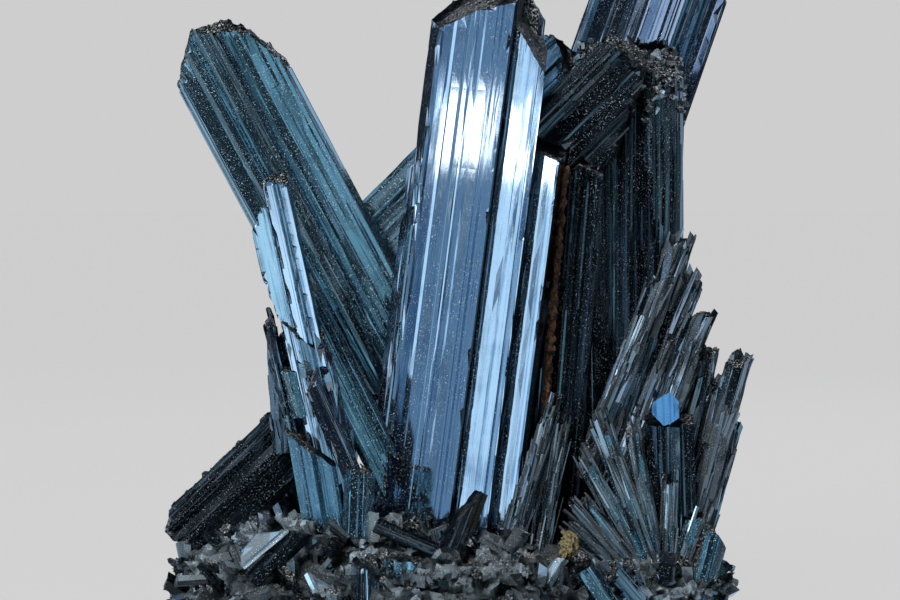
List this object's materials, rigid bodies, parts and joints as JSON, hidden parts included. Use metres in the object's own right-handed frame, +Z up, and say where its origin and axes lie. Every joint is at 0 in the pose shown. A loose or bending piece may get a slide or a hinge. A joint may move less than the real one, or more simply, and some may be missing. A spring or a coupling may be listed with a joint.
{
  "type": "stibnite crystal spray",
  "caption": "Free-standing spray of long striated metallic prisms and fans of thin blades, rising at several leans from a rough flat-bottomed crust.",
  "frame": {"origin": "bottom centre of the whole spray's box, on the surface that it stands on", "axes": "+Z up, +X to the right and +Y to the back, seen from the front where the broad mirror-like crystal faces the viewer"},
  "size_m": [0.1494, 0.0886, 0.1841],
  "materials": {
    "bright": "mirror-like striated stibnite, blue-grey",
    "teal": "striated stibnite with a faint teal tarnish",
    "dark": "striated stibnite, dark lead-grey",
    "crust": "rough crystalline crust of broken stibnite and grey rock",
    "ochre": "dull yellow-brown alteration crust"
  },
  "bodies": {
    "root": {"central_crystal": "bright", "left_crystal": "teal", "right_crystal": "dark", "back_right_crystal": "bright", "right_front_crystal": "dark", "tilted_crystal": "dark", "crossing_crystal": "teal", "lower_left_crystal": "dark", "front_left_crystal": "bright", "left_inner_crystal": "teal", "split_blade": "teal", "left_back_shard": "dark", "lens_plate": "teal", "bright_stub": "bright", "lower_block": "teal", "small_teal_crystal": "teal", "wedge_crystal": "dark", "front_slab": "dark", "bright_block": "bright", "grey_block": "teal", "light_plate": "bright", "dark_plate": "dark", "white_shard": "bright", "dark_stub": "dark", "grey_prism": "teal", "blue_prism": "bright", "standing_crystal": "dark", "right_edge_spray": "dark", "upper_right_spray": "dark", "lower_right_fan": "teal", "needle_bundle": "dark", "blue_plate": "bright", "right_foot_crystal": "teal", "back_stub_left": "teal", "back_stub_middle": "dark", "back_stub_right": "teal", "back_left_fan": "dark", "back_right_fan": "teal", "ochre_grain": "ochre", "crust": "crust"}
  },
  "joints": []
}
